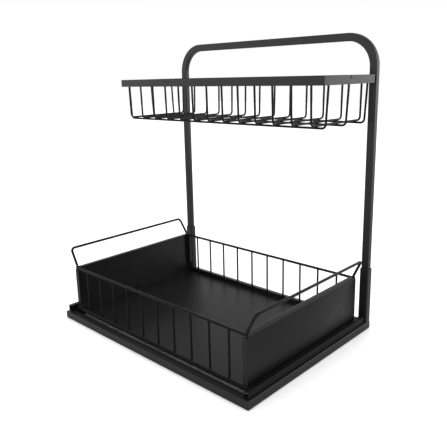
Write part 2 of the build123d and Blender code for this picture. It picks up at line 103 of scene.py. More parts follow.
# ---- sizes and colours a user would change --------------------------------------------------
class WireSizes(bpy.types.PropertyGroup):
    """Round wire of the basket, the fences and the handles"""

    diameter: FloatProperty(
        name="Diameter", description="Wire with its coat", default=0.0032, unit="LENGTH"
    )
    rail_diameter: FloatProperty(
        name="Rail diameter", description="Wire of the fence rails and the handles",
        default=0.0042, unit="LENGTH",
    )
    sides: IntProperty(name="Sides", description="Flats round the wire", default=16, min=8)
    bend_steps: IntProperty(name="Bend steps", description="Rings in each bend", default=7, min=2)
    end_round: FloatProperty(
        name="End rounding", description="Rounding of a cut end", default=0.0006, unit="LENGTH"
    )
    side_taper: FloatProperty(
        name="Side taper", description="How far the basket's front and rear draw in",
        default=0.0013, unit="LENGTH",
    )
    end_taper: FloatProperty(
        name="End taper", description="How far the basket's left and right ends draw in",
        default=0.0030, unit="LENGTH",
    )
    basket_bend: FloatProperty(
        name="Basket bend", description="Centreline radius at the basket's floor", default=0.006,
        unit="LENGTH",
    )
    rim_bend: FloatProperty(
        name="Rim bend", description="Centreline radius below the rim", default=0.012,
        unit="LENGTH",
    )
    foot_bend: FloatProperty(
        name="Foot bend", description="Centreline radius of an upright's foot", default=0.0028,
        unit="LENGTH",
    )
    handle_lean: FloatProperty(
        name="Handle lean", description="Bar outside the legs", default=0.015, unit="LENGTH"
    )
    handle_pull_in: FloatProperty(
        name="Handle pull-in", description="Bar's rear end in front of the rear leg",
        default=0.0045, unit="LENGTH",
    )
    knee_rise: FloatProperty(
        name="Knee rise", description="Handle's knee above the side panel", default=0.0013,
        unit="LENGTH",
    )
    knee_bend: FloatProperty(
        name="Knee bend", description="Centreline radius at the knee", default=0.006,
        unit="LENGTH",
    )
    bar_bend: FloatProperty(
        name="Bar bend", description="Centreline radius at the bar's ends", default=0.0065,
        unit="LENGTH",
    )


class EdgeSizes(bpy.types.PropertyGroup):
    """Rounding that the coat leaves on edges"""

    tube: FloatProperty(
        name="Tube", description="Rounding at cut tube edges", default=0.0003, unit="LENGTH"
    )
    sheet: FloatProperty(
        name="Sheet", description="Rounding at sheet edges", default=0.0004, unit="LENGTH"
    )
    slide: FloatProperty(
        name="Slide", description="Rounding at the slides' edges", default=0.00015, unit="LENGTH"
    )
    steps: IntProperty(name="Steps", description="Flats in each rounding", default=2, min=1)


class CoatLook(bpy.types.PropertyGroup):
    """Black powder coat"""

    colour: FloatVectorProperty(
        name="Sheet colour", description="Coat on the sheet", subtype="COLOR",
        default=(0.0030, 0.0030, 0.0032), min=0.0, max=1.0,
    )
    tube_colour: FloatVectorProperty(
        name="Tube colour", description="Coat on the tubes and the rim", subtype="COLOR",
        default=(0.0075, 0.0075, 0.0078), min=0.0, max=1.0,
    )
    wire_colour: FloatVectorProperty(
        name="Wire colour", description="Coat on the wires", subtype="COLOR",
        default=(0.0028, 0.0028, 0.0029), min=0.0, max=1.0,
    )
    roughness: FloatProperty(
        name="Roughness", description="Satin finish of the coat", default=0.33, min=0.0, max=1.0
    )
    shine: FloatProperty(
        name="Shine", description="Strength of the coat's reflections", default=0.36, min=0.0,
        max=1.0,
    )
    peel_size: FloatProperty(
        name="Peel size", description="Width of the coat's waves", default=0.0022, unit="LENGTH"
    )
    grain_size: FloatProperty(
        name="Grain size", description="Width of the coat's fine grain", default=0.0004,
        unit="LENGTH",
    )


class StudioLook(bpy.types.PropertyGroup):
    """Camera, lamps and backdrop"""

    eye: FloatVectorProperty(
        name="Eye", description="Where the camera stands", subtype="XYZ", unit="LENGTH",
        default=(0.60400, -0.61224, 0.41006),
    )
    yaw: FloatProperty(
        name="Yaw", description="Turn to the left of +Y", default=0.7678, unit="ROTATION"
    )
    pitch: FloatProperty(
        name="Pitch", description="Tilt above the horizon", default=-0.2405, unit="ROTATION"
    )
    roll: FloatProperty(
        name="Roll", description="Turn about the line of sight", default=-0.0250, unit="ROTATION"
    )
    lens: FloatProperty(
        name="Lens", description="Focal length in mm on a 36 mm sensor", default=43.927
    )
    shift_x: FloatProperty(
        name="Shift X", description="Picture's centre right of the lens axis", default=0.0181
    )
    shift_y: FloatProperty(
        name="Shift Y", description="Picture's centre above the lens axis", default=-0.0321
    )
    room_light: FloatProperty(
        name="Room light", description="Light from the surroundings", default=1.5, min=0.0
    )
    horizon: FloatProperty(
        name="Horizon", description="Reflected surroundings near the horizon", default=1.6,
        min=0.0,
    )
    overhead: FloatProperty(
        name="Overhead", description="Reflected surroundings well above the horizon",
        default=0.12, min=0.0,
    )
    floor_tone: FloatProperty(
        name="Floor tone", description="Floor as the eye sees it", default=0.85, min=0.0, max=1.0
    )
    floor_mirrored: FloatProperty(
        name="Floor mirrored", description="Floor in reflections", default=0.4, min=0.0, max=1.0
    )


# ---- shared helpers -------------------------------------------------------------------------
def settings():
    """The scene's settings for the basket."""
    return bpy.context.scene.basket


def put_in_scene(mesh, piece):
    """A new object at the origin, holding the mesh."""
    made = bpy.data.objects.new(piece, mesh)
    bpy.context.scene.collection.objects.link(made)
    return made


def shade(mesh):
    """Smooth faces, with the edges sharper than a crease kept sharp."""
    for face in mesh.polygons:
        face.use_smooth = True
    mesh.set_sharp_from_angle(angle=CREASE)


def dress(piece, slot, *nodes):
    """Lets a finished piece stand for CAD nodes and move with their body."""
    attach(piece, frame["nodes"][nodes[0]]["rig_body"])
    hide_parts(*nodes)


def merged_copy(node, piece):
    """A closed copy of a CAD node's mesh: its triangles merged, its flat faces whole."""
    work = bmesh.new()
    work.from_mesh(frame["nodes"][node].data)
    bmesh.ops.remove_doubles(work, verts=work.verts, dist=MERGE)
    bmesh.ops.dissolve_limit(
        work, angle_limit=FLAT, verts=work.verts[:], edges=work.edges[:]
    )
    mesh = bpy.data.meshes.new(piece)
    work.to_mesh(mesh)
    work.free()
    return mesh


def round_edges(piece, width, steps):
    """A live bevel on every edge sharper than a crease."""
    bevel = piece.modifiers.new("Edge rounding", "BEVEL")
    bevel.width = width
    bevel.segments = steps
    bevel.limit_method = "ANGLE"
    bevel.angle_limit = CREASE
    bevel.use_clamp_overlap = False
    bevel.harden_normals = True
    bevel.miter_outer = "MITER_ARC"


def rounded_node(node, piece, width, material, slot):
    """A CAD node's shape with its sharp edges rounded."""
    mesh = merged_copy(node, piece)
    mesh.materials.append(material)
    shade(mesh)
    made = put_in_scene(mesh, piece)
    round_edges(made, width, settings().edges.steps)
    dress(made, slot, node)


# ---- node trees: shapes -----------------------------------------------------------------------
def new_node(tree, kind, inputs=None, **options):
    """Adds a node; an input is a value, or a socket to link from."""
    made = tree.nodes.new(kind)
    for key, value in options.items():
        setattr(made, key, value)
    for key, value in (inputs or {}).items():
        if isinstance(value, bpy.types.NodeSocket):
            tree.links.new(value, made.inputs[key])
        else:
            made.inputs[key].default_value = value
    return made


def new_tree(name, kind, takes, gives):
    """A node group with named inputs (name: (socket type, default)) and outputs."""
    tree = bpy.data.node_groups.new(name, kind)
    for key, (socket, default) in takes.items():
        made = tree.interface.new_socket(key, in_out="INPUT", socket_type=socket)
        if default is not None:
            made.default_value = default
    for key, socket in gives.items():
        tree.interface.new_socket(key, in_out="OUTPUT", socket_type=socket)
    return tree, tree.nodes.new("NodeGroupInput").outputs, tree.nodes.new("NodeGroupOutput")


def end_tree(tree, result, copies, material):
    """Ends a tree in Realize Instances and Set Material."""
    real = new_node(tree, "GeometryNodeRealizeInstances", {"Geometry": copies}).outputs[0]
    finished = new_node(
        tree, "GeometryNodeSetMaterial", {"Geometry": real, "Material": material}
    ).outputs[0]
    tree.links.new(finished, result.inputs["Geometry"])
    return tree


def wire_row_tree():
    """Bends a round wire along a route and repeats it in a row."""
    tree, given, result = new_tree(
        "Wire row",
        "GeometryNodeTree",
        {
            "Route": ("NodeSocketGeometry", None),
            "Diameter": ("NodeSocketFloat", 0.0032),
            "Sides": ("NodeSocketInt", 16),
            "Bend Steps": ("NodeSocketInt", 7),
            "Copies": ("NodeSocketInt", 1),
            "Spacing": ("NodeSocketVector", None),
            "Coat": ("NodeSocketMaterial", None),
        },
        {"Geometry": "NodeSocketGeometry"},
    )
    radius = new_node(
        tree, "ShaderNodeMath", {0: given["Diameter"], 1: 0.5}, operation="MULTIPLY"
    ).outputs[0]
    bend = new_node(
        tree, "GeometryNodeInputNamedAttribute", {"Name": "bend"}, data_type="FLOAT"
    ).outputs["Attribute"]
    route = new_node(tree, "GeometryNodeMeshToCurve", {"Mesh": given["Route"]}).outputs[0]
    bent = new_node(
        tree,
        "GeometryNodeFilletCurve",
        {"Curve": route, "Radius": bend, "Count": given["Bend Steps"], "Limit Radius": False},
        mode="POLY",
    ).outputs[0]
    section = new_node(
        tree,
        "GeometryNodeCurvePrimitiveCircle",
        {"Resolution": given["Sides"], "Radius": radius},
    ).outputs[0]
    wire = new_node(
        tree,
        "GeometryNodeCurveToMesh",
        {"Curve": bent, "Profile Curve": section, "Fill Caps": True},
    ).outputs[0]
    row = new_node(
        tree,
        "GeometryNodeMeshLine",
        {"Count": given["Copies"], "Offset": given["Spacing"]},
    ).outputs[0]
    copies = new_node(
        tree, "GeometryNodeInstanceOnPoints", {"Points": row, "Instance": wire}
    ).outputs[0]
    return end_tree(tree, result, copies, given["Coat"])


def weld_tree():
    """Sets a rounded weld bead on every point, as wide each way as the point's reach says."""
    tree, given, result = new_tree(
        "Weld beads",
        "GeometryNodeTree",
        {
            "Spots": ("NodeSocketGeometry", None),
            "Segments": ("NodeSocketInt", 12),
            "Rings": ("NodeSocketInt", 8),
            "Unevenness": ("NodeSocketFloat", 0.12),
            "Seed": ("NodeSocketInt", 4),
            "Coat": ("NodeSocketMaterial", None),
        },
        {"Geometry": "NodeSocketGeometry"},
    )
    bead = new_node(
        tree,
        "GeometryNodeMeshUVSphere",
        {"Segments": given["Segments"], "Rings": given["Rings"], "Radius": 1.0},
    ).outputs["Mesh"]
    reach = new_node(
        tree, "GeometryNodeInputNamedAttribute", {"Name": "reach"}, data_type="FLOAT_VECTOR"
    ).outputs["Attribute"]
    least = new_node(
        tree, "ShaderNodeMath", {0: 1.0, 1: given["Unevenness"]}, operation="SUBTRACT"
    ).outputs[0]
    chance = new_node(tree, "FunctionNodeRandomValue", {"Seed": given["Seed"]}, data_type="FLOAT")
    tree.links.new(least, chance.inputs[2])
    chance.inputs[3].default_value = 1.0
    size = new_node(
        tree, "ShaderNodeVectorMath", {0: reach, "Scale": chance.outputs[1]}, operation="SCALE"
    ).outputs[0]
    beads = new_node(
        tree,
        "GeometryNodeInstanceOnPoints",
        {"Points": given["Spots"], "Instance": bead, "Scale": size},
    ).outputs[0]
    return end_tree(tree, result, beads, given["Coat"])


def grid_tree():
    """Repeats a small part, such as a screw, in columns and rows."""
    tree, given, result = new_tree(
        "Fastener grid",
        "GeometryNodeTree",
        {
            "Fastener": ("NodeSocketGeometry", None),
            "Columns": ("NodeSocketInt", 2),
            "Column Spacing": ("NodeSocketVector", None),
            "Rows": ("NodeSocketInt", 2),
            "Row Spacing": ("NodeSocketVector", None),
            "Finish": ("NodeSocketMaterial", None),
        },
        {"Geometry": "NodeSocketGeometry"},
    )
    shape = given["Fastener"]
    for count, spacing in (("Columns", "Column Spacing"), ("Rows", "Row Spacing")):
        line = new_node(
            tree, "GeometryNodeMeshLine", {"Count": given[count], "Offset": given[spacing]}
        ).outputs[0]
        shape = new_node(
            tree, "GeometryNodeInstanceOnPoints", {"Points": line, "Instance": shape}
        ).outputs[0]
    return end_tree(tree, result, shape, given["Finish"])


def tree_named(name, build):
    """A node tree that is built once."""
    return bpy.data.node_groups.get(name) or build()


def grown(tree, mesh, piece, inputs):
    """What a node tree makes of a mesh, as an object with a plain mesh of its own."""
    made = put_in_scene(mesh, piece)
    nodes = made.modifiers.new(tree.name, "NODES")
    nodes.node_group = tree
    for socket in tree.interface.items_tree:
        if socket.in_out == "INPUT" and socket.name in inputs:
            nodes[socket.identifier] = inputs[socket.name]
    graph = bpy.context.evaluated_depsgraph_get()
    plain = bpy.data.meshes.new_from_object(made.evaluated_get(graph), depsgraph=graph)
    made.modifiers.clear()
    made.data = plain
    plain.name = piece
    return made


# ---- wires --------------------------------------------------------------------------------------
def route_mesh(name, corners):
    """A line through corners, each (x, y, z, bend radius)."""
    mesh = bpy.data.meshes.new(name)
    mesh.from_pydata(
        [c[:3] for c in corners], [(i, i + 1) for i in range(len(corners) - 1)], []
    )
    bend = mesh.attributes.new("bend", "FLOAT", "POINT")
    bend.data.foreach_set("value", [c[3] for c in corners])
    return mesh


def wire_piece(piece, diameter, corners, nodes, copies=1, spacing=(0, 0, 0)):
    """A wire, or a row of like wires, that stands for its CAD nodes."""
    sizes = settings().wires
    made = grown(
        tree_named("Wire row", wire_row_tree),
        route_mesh(piece, corners),
        piece,
        {
            "Diameter": diameter,
            "Sides": sizes.sides,
            "Bend Steps": sizes.bend_steps,
            "Copies": copies,
            "Spacing": spacing,
            "Coat": finish("wire_coat"),
        },
    )
    shade(made.data)
    round_edges(made, sizes.end_round, WIRE_END_STEPS)
    dress(made, "black_wire", *nodes)


def spot_mesh(name, spots):
    """Points for weld beads, each (x, y, z, reach along x, y and z)."""
    mesh = bpy.data.meshes.new(name)
    mesh.from_pydata([s[:3] for s in spots], [], [])
    reach = mesh.attributes.new("reach", "FLOAT_VECTOR", "POINT")
    reach.data.foreach_set("vector", [value for s in spots for value in s[3:]])
    return mesh


def weld_piece(piece, spots, body, seed):
    """Weld beads that ride on a body."""
    made = grown(
        tree_named("Weld beads", weld_tree),
        spot_mesh(piece, spots),
        piece,
        {"Seed": seed, "Coat": finish("wire_coat")},
    )
    for face in made.data.polygons:
        face.use_smooth = True
    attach(made, body)


# ---- finishes -----------------------------------------------------------------------------------
def coat_surface_tree():
    """Powder coat: long soft waves, fine grain and a slow drift in tone and gloss."""
    tree, given, result = new_tree(
        "Coat surface",
        "ShaderNodeTree",
        {
            "Colour": ("NodeSocketColor", None),
            "Roughness": ("NodeSocketFloat", 0.42),
            "Peel Size": ("NodeSocketFloat", 0.0022),
            "Grain Size": ("NodeSocketFloat", 0.0004),
            "Drift": ("NodeSocketFloat", 0.12),
        },
        {
            "Colour": "NodeSocketColor",
            "Roughness": "NodeSocketFloat",
            "Height": "NodeSocketFloat",
        },
    )
    where = tree.nodes.new("ShaderNodeTexCoord").outputs["Object"]
    drift_size = 0.06  # width of the slow drift
    grain_height = 0.45  # of the grain, beside the waves' 1
    speckle = 0.8  # how far the tone follows the grain and the drift

    def noise(size, detail):
        scale = new_node(tree, "ShaderNodeMath", {0: 1.0, 1: size}, operation="DIVIDE").outputs[0]
        return new_node(
            tree, "ShaderNodeTexNoise", {"Vector": where, "Scale": scale, "Detail": detail}
        ).outputs[0]

    peel = noise(given["Peel Size"], detail=1.0)
    grain = noise(given["Grain Size"], detail=2.0)
    slow = noise(drift_size, detail=2.0)
    fine = new_node(
        tree, "ShaderNodeMath", {0: grain, 1: grain_height}, operation="MULTIPLY"
    ).outputs[0]
    height = new_node(tree, "ShaderNodeMath", {0: peel, 1: fine}, operation="ADD").outputs[0]
    tree.links.new(height, result.inputs["Height"])

    def drifted(base, noise_out, amount):
        centred = new_node(
            tree, "ShaderNodeMath", {0: noise_out, 1: 0.5}, operation="SUBTRACT"
        ).outputs[0]
        return new_node(
            tree, "ShaderNodeMath", {0: centred, 1: amount, 2: base}, operation="MULTIPLY_ADD"
        ).outputs[0]

    gloss = drifted(given["Roughness"], slow, given["Drift"])
    gloss = drifted(gloss, grain, given["Drift"])
    tree.links.new(gloss, result.inputs["Roughness"])
    both = new_node(tree, "ShaderNodeMath", {0: grain, 1: slow}, operation="ADD").outputs[0]
    mean = new_node(tree, "ShaderNodeMath", {0: both, 1: 0.5}, operation="MULTIPLY").outputs[0]
    tone = drifted(1.0, mean, speckle)
    shaded = new_node(
        tree, "ShaderNodeVectorMath", {0: given["Colour"], "Scale": tone}, operation="SCALE"
    ).outputs[0]
    tree.links.new(shaded, result.inputs["Colour"])
    return tree


def steel_surface_tree():
    """Drawn or rolled steel: streaks along the part and a slight mottle."""
    tree, given, result = new_tree(
        "Steel surface",
        "ShaderNodeTree",
        {
            "Colour": ("NodeSocketColor", None),
            "Roughness": ("NodeSocketFloat", 0.3),
            "Streak Size": ("NodeSocketFloat", 0.0003),
        },
        {
            "Colour": "NodeSocketColor",
            "Roughness": "NodeSocketFloat",
            "Height": "NodeSocketFloat",
        },
    )
    where = tree.nodes.new("ShaderNodeTexCoord").outputs["Object"]
    streak_stretch = (1.0, 0.02, 1.0)  # fifty times longer along Y
    mottle_scale = 120.0
    drawn = new_node(
        tree, "ShaderNodeMapping", {"Vector": where, "Scale": streak_stretch}
    ).outputs[0]
    scale = new_node(
        tree, "ShaderNodeMath", {0: 1.0, 1: given["Streak Size"]}, operation="DIVIDE"
    ).outputs[0]
    streaks = new_node(
        tree, "ShaderNodeTexNoise", {"Vector": drawn, "Scale": scale, "Detail": 2.0}
    ).outputs[0]
    mottle = new_node(
        tree, "ShaderNodeTexNoise", {"Vector": where, "Scale": mottle_scale, "Detail": 3.0}
    ).outputs[0]
    gloss = new_node(
        tree, "ShaderNodeMapRange", {"Value": mottle, "To Min": 0.8, "To Max": 1.2}
    ).outputs[0]
    gloss = new_node(
        tree, "ShaderNodeMath", {0: gloss, 1: given["Roughness"]}, operation="MULTIPLY"
    ).outputs[0]
    tone = new_node(
        tree, "ShaderNodeMapRange", {"Value": streaks, "To Min": 0.8, "To Max": 1.15}
    ).outputs[0]
    shaded = new_node(
        tree, "ShaderNodeVectorMath", {0: given["Colour"], "Scale": tone}, operation="SCALE"
    ).outputs[0]
    tree.links.new(shaded, result.inputs["Colour"])
    tree.links.new(gloss, result.inputs["Roughness"])
    tree.links.new(streaks, result.inputs["Height"])
    return tree


def surface_material(name, surface_tree, inputs, metallic, depth, specular):
    """A material whose colour, roughness and bump follow a surface tree."""
    material = bpy.data.materials.new(name)
    material.use_nodes = True
    tree = material.node_tree
    surface = tree.nodes["Principled BSDF"]
    group = tree.nodes.new("ShaderNodeGroup")
    group.node_tree = surface_tree
    for key, value in inputs.items():
        group.inputs[key].default_value = value
    bump = new_node(
        tree,
        "ShaderNodeBump",
        {"Height": group.outputs["Height"], "Strength": 1.0, "Distance": depth},
    )
    surface.inputs["Metallic"].default_value = metallic
    surface.inputs["Specular IOR Level"].default_value = specular
    tree.links.new(group.outputs["Colour"], surface.inputs["Base Color"])
    tree.links.new(group.outputs["Roughness"], surface.inputs["Roughness"])
    tree.links.new(bump.outputs["Normal"], surface.inputs["Normal"])
    return material


def coat_material(name, colour, roughness, depth, specular):
    """Satin black powder coat, or plastic with its grain."""
    look = settings().coat
    inputs = {
        "Colour": (*colour, 1.0),
        "Roughness": roughness,
        "Peel Size": look.peel_size,
        "Grain Size": look.grain_size,
    }
    surface_tree = tree_named("Coat surface", coat_surface_tree)
    return surface_material(name, surface_tree, inputs, 0.0, depth, specular)


def steel_material(name, colour, roughness, metallic, depth, specular=0.5):
    """Steel with drawing streaks, bright or blackened."""
    inputs = {"Colour": (*colour, 1.0), "Roughness": roughness}
    surface_tree = tree_named("Steel surface", steel_surface_tree)
    return surface_material(name, surface_tree, inputs, metallic, depth, specular)


def finish(name):
    """A finish by name, made the first time it is asked for."""
    made = bpy.data.materials.get(name)
    if made:
        return made
    look = settings().coat
    satin, shine = look.roughness, look.shine
    if name == "sheet_coat":
        return coat_material(
            name, look.colour, roughness=satin + SHEET_DULLER, depth=0.00004, specular=shine
        )
    if name == "tube_coat":
        return coat_material(
            name, look.tube_colour, roughness=satin, depth=0.00009, specular=shine
        )
    if name == "wire_coat":
        return coat_material(
            name, look.wire_colour, roughness=satin - WIRE_GLOSSIER, depth=0.00002,
            specular=shine / 2,
        )
    if name == "bumper_plastic":
        return coat_material(
            name, (0.02, 0.02, 0.02), roughness=0.6, depth=0.00002, specular=0.4
        )
    # Black e-coated steel, with its colour and its reflection (a third of the coat's shine) lowered
    # further as painted shade for the shadow the side panels cast on the slides
    if name == "slide_black_painted_shade":
        return steel_material(
            name, (0.004, 0.004, 0.0043), roughness=0.4, metallic=0.0, depth=0.00001,
            specular=shine / 3,
        )
    if name == "screw_black":
        return steel_material(
            name, (0.016, 0.016, 0.017), roughness=0.34, metallic=0.0, depth=0.00001
        )
    if name == "cage_zinc":
        return steel_material(
            name, (0.55, 0.56, 0.58), roughness=0.35, metallic=1.0, depth=0.00001
        )
    if name == "ball_chrome":
        return steel_material(
            name, (0.78, 0.78, 0.79), roughness=0.08, metallic=1.0, depth=0.0
        )
    raise ValueError(f"there is no finish named {name}")


def repaint(node, name):
    """Gives a CAD node that stays as it is its finish."""
    frame["nodes"][node].material_slots[0].material = finish(name)


# ---- operators: one for each group of like pieces -----------------------------------------------
class BaseTubes(bpy.types.Operator):
    """Coat the four mitred tubes of the base"""

    bl_idname = "basket.base_tubes"
    bl_label = "Base tubes"

    def execute(self, context):
        for node in ("base_front_bar", "base_rear_bar", "base_left_rail", "base_right_rail"):
            repaint(node, "tube_coat")
        return {"FINISHED"}


class UprightFrame(bpy.types.Operator):
    """Coat the inverted U of flat tube, its sleeves and the basket's hanger blocks"""

    bl_idname = "basket.upright_frame"
    bl_label = "Upright frame"

    def execute(self, context):
        repaint("u_frame", "tube_coat")
        width = settings().edges.tube
        for side in SIDES:
            rounded_node(
                f"{side}_sleeve", f"{side}_post_sleeve", width, finish("tube_coat"), "black_coat"
            )
            rounded_node(
                f"{side}_hanger", f"{side}_hanger_block", width, finish("tube_coat"), "black_coat"
            )
        return {"FINISHED"}


class DrawerSheet(bpy.types.Operator):
    """Round and coat the drawer's pan and its two side panels"""

    bl_idname = "basket.drawer_sheet"
    bl_label = "Drawer sheet"

    def execute(self, context):
        width = settings().edges.sheet
        rounded_node("drawer_pan", "folded_pan", width, finish("sheet_coat"), "black_coat")
        for side in SIDES:
            rounded_node(
                f"{side}_panel", f"{side}_side_panel", width, finish("sheet_coat"), "black_coat"
            )
        return {"FINISHED"}


class BasketRim(bpy.types.Operator):
    """Round and coat the flat strip round the upper basket"""

    bl_idname = "basket.basket_rim"
    bl_label = "Basket rim"

    def execute(self, context):
        width = settings().edges.sheet
        rounded_node("basket_rim", "rim_strip", width, finish("tube_coat"), "black_coat")
        return {"FINISHED"}


class BasketWires(bpy.types.Operator):
    """Bend the cross wires and the lengthwise wires of the upper basket, and weld them"""

    bl_idname = "basket.basket_wires"
    bl_label = "Basket wires"

    def execute(self, context):
        sizes = settings().wires
        radius = sizes.diameter / 2
        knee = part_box("basket_rim")[0].z - sizes.diameter
        first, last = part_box(CROSS_WIRES[0]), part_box(CROSS_WIRES[-1])
        x = (first[0].x + first[1].x) / 2
        step = (last[0].x - first[0].x) / (len(CROSS_WIRES) - 1)
        low, high = first[0].z + radius, first[1].z
        front, rear = first[0].y + radius, first[1].y - radius
        wire_piece(
            "cross_wires",
            sizes.diameter,
            [
                (x, front, high, 0.0),
                (x, front, knee, sizes.rim_bend),
                (x, front + sizes.side_taper, low, sizes.basket_bend),
                (x, rear - sizes.side_taper, low, sizes.basket_bend),
                (x, rear, knee, sizes.rim_bend),
                (x, rear, high, 0.0),
            ],
            CROSS_WIRES,
            copies=len(CROSS_WIRES),
            spacing=(step, 0, 0),
        )
        long_first, long_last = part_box(LONG_WIRES[0]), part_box(LONG_WIRES[-1])
        y = (long_first[0].y + long_first[1].y) / 2
        long_step = (long_last[0].y - long_first[0].y) / (len(LONG_WIRES) - 1)
        end = long_first[1].x - radius
        long_low = long_first[0].z + radius
        wire_piece(
            "lengthwise_wires",
            sizes.diameter,
            [
                (-end, y, high, 0.0),
                (-end, y, knee, sizes.rim_bend),
                (-end + sizes.end_taper, y, long_low, sizes.basket_bend),
                (end - sizes.end_taper, y, long_low, sizes.basket_bend),
                (end, y, knee, sizes.rim_bend),
                (end, y, high, 0.0),
            ],
            LONG_WIRES,
            copies=len(LONG_WIRES),
            spacing=(0, long_step, 0),
        )
        xs = [x + n * step for n in range(len(CROSS_WIRES))]
        ys = [y + n * long_step for n in range(len(LONG_WIRES))]
        wide, flat = BASKET_BEAD
        spots = [(sx, sy, (low + long_low) / 2, wide, wide, flat) for sx in xs for sy in ys]
        rim_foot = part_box("basket_rim")[0].z
        for height in (rim_foot + RIM_WELD_SET, high - RIM_WELD_SET):
            for sx in xs:
                spots.append((sx, front - radius, height, wide, flat, wide))
                spots.append((sx, rear + radius, height, wide, flat, wide))
            for sy in ys:
                spots.append((-end - radius, sy, height, flat, wide, wide))
                spots.append((end + radius, sy, height, flat, wide, wide))
        weld_piece("basket_welds", spots, "frame", seed=4)
        return {"FINISHED"}


class DrawerFences(bpy.types.Operator):
    """Bend the uprights and the top rails of the drawer's two wire fences, and weld them"""

    bl_idname = "basket.drawer_fences"
    bl_label = "Drawer fences"

    def execute(self, context):
        sizes = settings().wires
        radius = sizes.diameter / 2
        spots = []
        for end in ENDS:
            rail_low, rail_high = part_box(f"{end}_fence_rail")
            y = (rail_low.y + rail_high.y) / 2
            z = (rail_low.z + rail_high.z) / 2
            wire_piece(
                f"{end}_top_rail",
                sizes.rail_diameter,
                [(rail_low.x, y, z, 0.0), (rail_high.x, y, z, 0.0)],
                [f"{end}_fence_rail"],
            )
            low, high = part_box(f"{end}_fence_uprights")
            x = low.x + radius
            step = (high.x - low.x - sizes.diameter) / (UPRIGHTS - 1)
            foot_y = low.y if end == "front" else high.y
            foot_z = low.z + radius
            wire_piece(
                f"{end}_uprights",
                sizes.diameter,
                [
                    (x, y, high.z, 0.0),
                    (x, y, foot_z, sizes.foot_bend),
                    (x, foot_y, foot_z, 0.0),
                ],
                [f"{end}_fence_uprights"],
                copies=UPRIGHTS,
                spacing=(step, 0, 0),
            )
            wide, flat = FENCE_BEAD
            spots += [
                (x + n * step, y, rail_low.z, wide, wide, flat) for n in range(UPRIGHTS)
            ]
            spots += [(rail_low.x, y, z, flat, wide, wide), (rail_high.x, y, z, flat, wide, wide)]
        weld_piece("fence_welds", spots, "drawer", seed=7)
        return {"FINISHED"}


class SideHandles(bpy.types.Operator):
    """Bend the two wire handles and weld them to the side panels"""

    bl_idname = "basket.side_handles"
    bl_label = "Side handles"

    def execute(self, context):
        sizes = settings().wires
        radius = sizes.rail_diameter / 2
        spots = []
        for side, out in (("left", -1), ("right", 1)):
            low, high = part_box(f"{side}_handle")
            panel_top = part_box(f"{side}_panel")[1].z
            leg = out * (min(abs(low.x), abs(high.x)) + radius)
            bar = leg + out * sizes.handle_lean
            front, rear = low.y + radius, high.y - radius
            knee = panel_top + sizes.knee_rise
            top = high.z - radius
            wire_piece(
                f"{side}_wire_handle",
                sizes.rail_diameter,
                [
                    (leg, front, low.z, 0.0),
                    (leg, front, knee, sizes.knee_bend),
                    (bar, front, top, sizes.bar_bend),
                    (bar, rear - sizes.handle_pull_in, top, sizes.bar_bend),
                    (leg, rear, knee, sizes.knee_bend),
                    (leg, rear, low.z, 0.0),
                ],
                [f"{side}_handle"],
            )
            seam = leg + out * radius
            for y in (front, rear):
                for height in HANDLE_WELD_HEIGHTS:
                    spots.append((seam, y, low.z + height, *HANDLE_BEAD))
        weld_piece("handle_welds", spots, "drawer", seed=11)
        return {"FINISHED"}


class Screws(bpy.types.Operator):
    """Set the countersunk screws in the sleeves and finish the hangers' button heads"""

    bl_idname = "basket.screws"
    bl_label = "Screws"

    def execute(self, context):
        low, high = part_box("left_sleeve_screws")
        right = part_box("right_sleeve_screws")[0]
        x = (low.x + high.x) / 2
        lower, upper = low.z + SCREW_HEAD, high.z - SCREW_HEAD
        made = grown(
            tree_named("Fastener grid", grid_tree),
            self.countersunk((x, high.y, lower), high.y - low.y),
            "countersunk_screws",
            {
                "Columns": len(SIDES),
                "Column Spacing": (right.x - low.x, 0, 0),
                "Rows": 2,
                "Row Spacing": (0, 0, upper - lower),
                "Finish": finish("screw_black"),
            },
        )
        shade(made.data)
        dress(made, "black_screw", "left_sleeve_screws", "right_sleeve_screws")
        for side in SIDES:
            repaint(f"{side}_hanger_screw", "screw_black")
        return {"FINISHED"}

    def countersunk(self, place, length):
        """One screw, the face of its head at the place and its shank towards the front."""
        shank, tip, socket = 0.0020, 0.00185, 0.00125  # radii
        sink, head_round, tip_round, socket_deep = 0.0015, 0.00025, 0.0003, 0.0011
        steps, corners = 24, 6
        work = bmesh.new()

        def ring(radius, depth, count):
            angles = [2 * math.pi * n / count for n in range(count)]
            return [
                work.verts.new((radius * math.cos(a), depth, radius * math.sin(a)))
                for a in angles
            ]

        rings = [
            ring(tip, -length, steps),
            ring(shank, -length + tip_round, steps),
            ring(shank, -sink, steps),
            ring(SCREW_HEAD, -head_round, steps),
            ring(SCREW_HEAD - head_round, 0.0, steps),
        ]
        for near, far in zip(rings[:-1], rings[1:]):
            for n in range(steps):
                work.faces.new((near[n], near[(n + 1) % steps], far[(n + 1) % steps], far[n]))
        outer, hexagon = rings[-1], ring(socket, 0.0, corners)
        floor = ring(socket, -socket_deep, corners)
        share = steps // corners
        for n in range(corners):
            arc = [outer[(n * share + k) % steps] for k in range(share + 1)]
            work.faces.new([*arc, hexagon[(n + 1) % corners], hexagon[n]])
            work.faces.new((
                hexagon[n], hexagon[(n + 1) % corners], floor[(n + 1) % corners], floor[n]
            ))
        work.faces.new(floor)
        work.faces.new(rings[0][::-1])
        bmesh.ops.recalc_face_normals(work, faces=work.faces)
        bmesh.ops.translate(work, verts=work.verts, vec=place)
        mesh = bpy.data.meshes.new("sleeve_screw")
        work.to_mesh(mesh)
        work.free()
        return mesh


